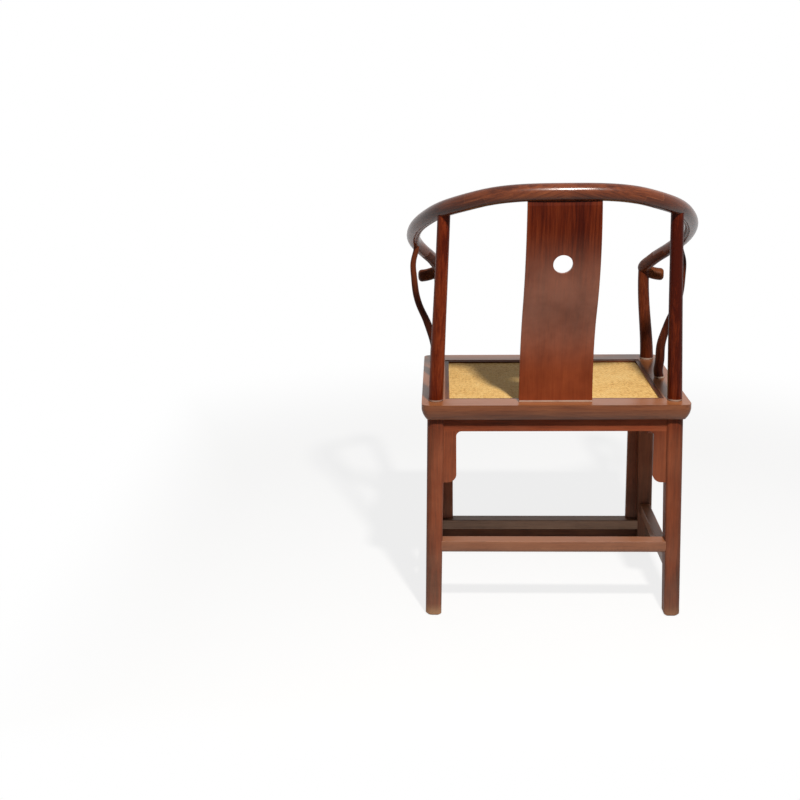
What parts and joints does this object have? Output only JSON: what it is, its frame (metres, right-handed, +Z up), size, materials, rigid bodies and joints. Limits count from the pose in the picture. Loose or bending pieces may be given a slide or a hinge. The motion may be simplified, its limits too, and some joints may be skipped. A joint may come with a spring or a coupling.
{
  "type": "horseshoe back armchair",
  "caption": "Hardwood armchair with a continuous curved back and arm rail, S-curved splat, braces, cane seat and stretchers.",
  "frame": {"origin": "on the floor under the middle of the bounding box", "axes": "+Z up, +Y towards the curved back, the chair's front faces -Y"},
  "size_m": [0.6776, 0.6202, 1.03],
  "materials": {
    "hardwood": "gloss",
    "strip_wood": "satin",
    "cane": "woven",
    "webbing": "woven"
  },
  "bodies": {
    "root": {"arm_grip_left": "hardwood", "arm_grip_right": "hardwood", "back_splat": "hardwood", "cane_mat": "cane", "crest_rail": "hardwood", "footrest": "hardwood", "footrest_apron": "hardwood", "front_apron": "hardwood", "front_leg_post_left": "hardwood", "front_leg_post_right": "hardwood", "front_strip_left": "hardwood", "front_strip_right": "hardwood", "holding_strip_front": "strip_wood", "holding_strip_left": "strip_wood", "holding_strip_rear": "strip_wood", "holding_strip_right": "strip_wood", "rail_side_left": "hardwood", "rail_side_right": "hardwood", "rear_apron": "hardwood", "rear_leg_post_left": "hardwood", "rear_leg_post_right": "hardwood", "rear_spandrel_left": "hardwood", "rear_spandrel_right": "hardwood", "rear_stretcher": "hardwood", "scarf_pin_arm_left": "hardwood", "scarf_pin_arm_right": "hardwood", "scarf_pin_back_left": "hardwood", "scarf_pin_back_right": "hardwood", "seat_batten_left": "hardwood", "seat_batten_right": "hardwood", "seat_rail_front": "hardwood", "seat_rail_left": "hardwood", "seat_rail_rear": "hardwood", "seat_rail_right": "hardwood", "seat_webbing": "webbing", "side_apron_left": "hardwood", "side_apron_right": "hardwood", "side_brace_left": "hardwood", "side_brace_right": "hardwood", "side_spandrel_left_front": "hardwood", "side_spandrel_left_rear": "hardwood", "side_spandrel_right_front": "hardwood", "side_spandrel_right_rear": "hardwood", "side_stretcher_left": "hardwood", "side_stretcher_right": "hardwood"}
  },
  "joints": []
}
